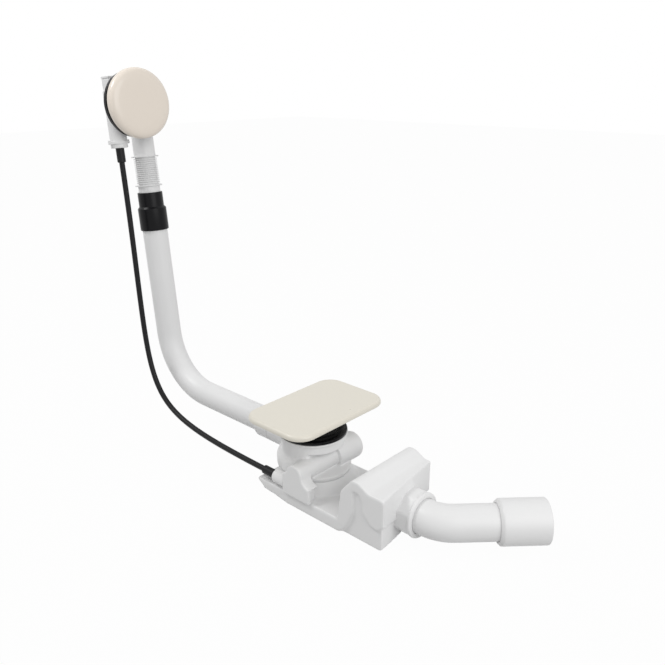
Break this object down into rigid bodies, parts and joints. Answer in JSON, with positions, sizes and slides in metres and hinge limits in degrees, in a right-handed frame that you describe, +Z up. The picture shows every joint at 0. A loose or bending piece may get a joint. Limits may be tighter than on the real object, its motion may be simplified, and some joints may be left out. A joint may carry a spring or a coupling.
{
  "type": "bath waste and overflow",
  "caption": "Bath waste with a lifting drain cover, flat water trap, bent outlet with an end socket, leaning overflow pipe and a turning overflow knob joined to it by a sheathed wire.",
  "frame": {"origin": "on the drain's axis at the top face of the drain gasket, where the underside of the bath seats", "axes": "+Z up along the drain's axis, +X along the trap towards the outlet, +Y across the trap; the overflow stands at negative X"},
  "size_m": [0.6158, 0.1758, 0.485],
  "materials": {
    "white_plastic": "satin",
    "beige_plastic": "satin",
    "black_rubber": "matt",
    "black_plastic": "fine grained",
    "stainless_steel": "brushed",
    "black_sheath": "satin extruded sheath",
    "acetal": "moulded",
    "wire": "drawn wire"
  },
  "bodies": {
    "fixed": {"spindle_seal": "black_rubber", "clamp_flange": "black_plastic", "clamp_screw_upper": "stainless_steel", "clamp_screw_lower": "stainless_steel", "head_gasket": "black_rubber", "overflow_housing": "white_plastic", "rack_cap": "white_plastic", "cable_collar": "white_plastic", "upper_ferrule": "black_plastic", "cable_sheath": "black_sheath", "lower_ferrule": "black_plastic", "cable_bushing": "white_plastic", "ribbed_adapter": "white_plastic", "rubber_sleeve": "black_rubber", "overflow_pipe": "white_plastic", "overflow_nut": "white_plastic", "overflow_seal": "black_rubber", "drain_flange": "black_plastic", "drain_gasket": "black_rubber", "drain_body": "white_plastic", "axle_seal": "black_rubber", "body_seal": "black_rubber", "trap_body": "white_plastic", "outlet_seal": "black_rubber", "outlet_nut": "white_plastic", "outlet_elbow": "white_plastic", "end_piece": "white_plastic", "lip_seal": "black_rubber"},
    "knob": {"overflow_knob": "beige_plastic", "knob_spindle": "acetal"},
    "upper_rack": {"head_rack": "acetal", "upper_wire": "wire"},
    "lower_rack": {"drain_rack": "acetal", "lower_wire": "wire"},
    "lever": {"lift_axle": "stainless_steel", "gear_sector": "acetal", "lift_arm": "acetal"},
    "plug": {"drain_cover": "beige_plastic", "plug": "black_plastic", "plug_seal": "black_rubber"}
  },
  "joints": [
    {"name": "knob_turn", "type": "hinge", "parent": "fixed", "child": "knob", "pos_m": [-0.2791, -0.022, 0.3623], "axis": [0.9954, 0, 0.0958], "range_deg": [0, 60]},
    {"name": "upper_rack_slide", "type": "slide", "parent": "fixed", "child": "upper_rack", "axis": [0.0958, 0, -0.9954], "range_m": [0, 0.00785]},
    {"name": "lower_rack_slide", "type": "slide", "parent": "fixed", "child": "lower_rack", "axis": [1, 0, 0], "range_m": [0, 0.00785]},
    {"name": "lever_turn", "type": "hinge", "parent": "fixed", "child": "lever", "pos_m": [0.021, 0, -0.0338], "axis": [0, -1, 0], "range_deg": [0, 30]},
    {"name": "plug_lift", "type": "slide", "parent": "fixed", "child": "plug", "axis": [0, 0, -1], "range_m": [0, 0.01087]}
  ],
  "couplings": [
    {"joint": "upper_rack_slide", "follows": "knob_turn", "m_per_rad": 0.0075},
    {"joint": "lower_rack_slide", "follows": "knob_turn", "m_per_rad": 0.0075},
    {"joint": "lever_turn", "follows": "knob_turn", "ratio": 0.5},
    {"joint": "plug_lift", "follows": "knob_turn", "m_per_rad": 0.010381}
  ]
}
